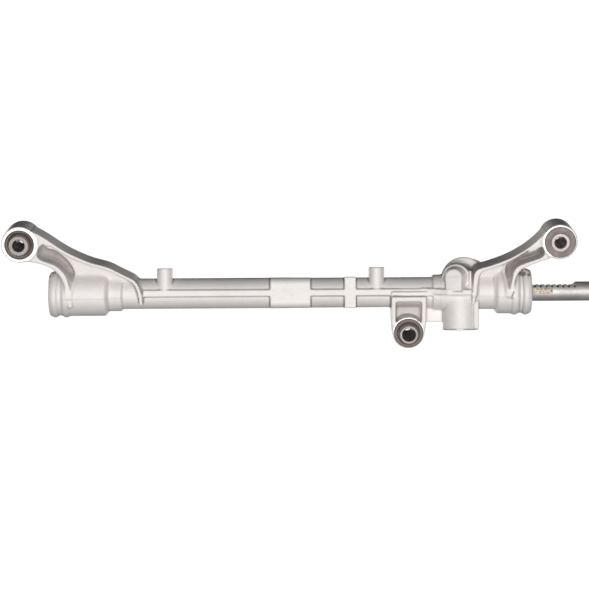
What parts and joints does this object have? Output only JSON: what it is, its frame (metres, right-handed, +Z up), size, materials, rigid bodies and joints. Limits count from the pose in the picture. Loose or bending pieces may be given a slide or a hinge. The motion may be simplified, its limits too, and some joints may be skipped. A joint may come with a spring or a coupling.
{
  "type": "steering rack",
  "caption": "Rack-and-pinion steering gear in a one-piece cast housing with three rubber-bushed mounting eyes and a toothed rack bar that slides out at the end.",
  "frame": {"origin": "centre of the left collar's mouth, on the rack axis", "axes": "+X along the rack axis towards the pinion end, +Y away from the viewer along the mounting bolts, +Z up"},
  "size_m": [0.7413, 0.1261, 0.1558],
  "materials": {
    "cast_aluminium": "as-cast, satin",
    "sleeve_steel": "turned, matt",
    "bush_rubber": "matt",
    "seal_rubber": "satin",
    "ground_steel": "ground and oiled",
    "bearing_steel": "polished",
    "bearing_plastic": "moulded",
    "dark_spring_steel": "phosphated",
    "bright_spring_steel": "drawn wire",
    "pressed_steel": "pressed",
    "plated_steel": "zinc plated",
    "sintered_guide": "die-cast, machined",
    "liner_plastic": "moulded",
    "plug_aluminium": "turned"
  },
  "bodies": {
    "gear_housing": {"housing": "cast_aluminium", "left_bush_outer_sleeve": "sleeve_steel", "left_bush_rubber": "bush_rubber", "left_bush_inner_sleeve": "sleeve_steel", "right_bush_outer_sleeve": "sleeve_steel", "right_bush_rubber": "bush_rubber", "right_bush_inner_sleeve": "sleeve_steel", "lower_bush_outer_sleeve": "sleeve_steel", "lower_bush_rubber": "bush_rubber", "lower_bush_inner_sleeve": "sleeve_steel", "rack_bush": "bearing_plastic", "rack_bush_o_rings": "seal_rubber", "rack_bush_circlip": "dark_spring_steel", "bearing_outer_race": "bearing_steel", "bearing_circlip": "dark_spring_steel", "needle_shell": "pressed_steel", "seal_case": "pressed_steel", "seal_lip": "seal_rubber", "seal_garter_spring": "bright_spring_steel", "rack_guide_spring": "bright_spring_steel", "adjuster_plug": "plug_aluminium"},
    "rack": {"rack_bar": "ground_steel"},
    "pinion": {"pinion_shaft": "ground_steel", "bearing_inner_race": "bearing_steel", "pinion_nut": "plated_steel"},
    "ball_set": {"bearing_balls": "bearing_steel", "bearing_cage": "pressed_steel"},
    "needle_set": {"needle_rollers": "bearing_steel", "needle_cage": "pressed_steel"},
    "guide": {"rack_guide": "sintered_guide", "rack_guide_liner": "liner_plastic", "rack_guide_o_ring": "seal_rubber"}
  },
  "joints": [
    {"name": "rack_travel", "type": "slide", "parent": "gear_housing", "child": "rack", "axis": [1, 0, 0], "range_m": [-0.128, 0]},
    {"name": "pinion_spin", "type": "hinge", "parent": "gear_housing", "child": "pinion", "pos_m": [0.512, 0.00416, 0.01519], "axis": [0.3206, 0.9136, -0.2499], "range_deg": [-2, 942.9]},
    {"name": "ball_cage_spin", "type": "hinge", "parent": "gear_housing", "child": "ball_set", "pos_m": [0.512, 0.00416, 0.01519], "axis": [0.3206, 0.9136, -0.2499], "range_deg": [-2, 362.1]},
    {"name": "needle_cage_spin", "type": "hinge", "parent": "gear_housing", "child": "needle_set", "pos_m": [0.512, 0.00416, 0.01519], "axis": [0.3206, 0.9136, -0.2499], "range_deg": [-2, 421.5]},
    {"name": "rack_guide_float", "type": "slide", "parent": "gear_housing", "child": "guide", "axis": [0, -0.2639, -0.9646], "range_m": [0, 0.0001], "stiffness_N_per_m": 40000, "springref_m": -0.005}
  ],
  "couplings": [
    {"joint": "pinion_spin", "follows": "rack_travel", "rad_per_m": -128.16},
    {"joint": "ball_cage_spin", "follows": "rack_travel", "rad_per_m": -48.97},
    {"joint": "needle_cage_spin", "follows": "rack_travel", "rad_per_m": -57.067}
  ]
}
